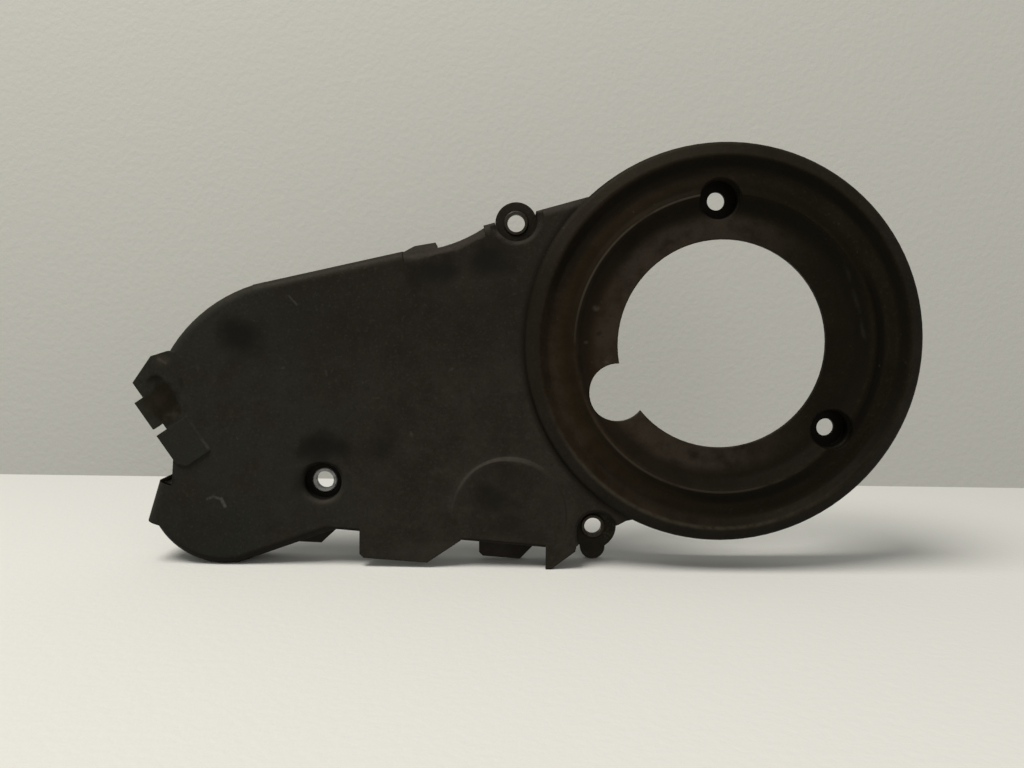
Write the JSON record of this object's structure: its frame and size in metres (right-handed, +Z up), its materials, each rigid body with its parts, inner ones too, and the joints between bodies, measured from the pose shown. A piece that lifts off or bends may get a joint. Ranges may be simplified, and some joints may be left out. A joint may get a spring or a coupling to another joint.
{
  "type": "timing cover",
  "caption": "Black moulded timing belt cover: a flat arm with turned-back walls meets a dished round ring with a keyhole opening; bolts go through sunk pockets and side lugs.",
  "frame": {"origin": "centre of the round crank opening, halfway through the dish floor", "axes": "+X to the right along the floor with the ring on the right, +Y away from the viewer towards the engine, +Z up as the cover stands in the picture"},
  "size_m": [0.3063, 0.0225, 0.167],
  "materials": {
    "plastic": "fine moulded grain, dusty and used",
    "steel": "dull and stained"
  },
  "bodies": {
    "root": {"cover": "plastic", "sleeve_arm": "steel", "sleeve_upper": "steel", "sleeve_lower": "steel"}
  },
  "joints": []
}
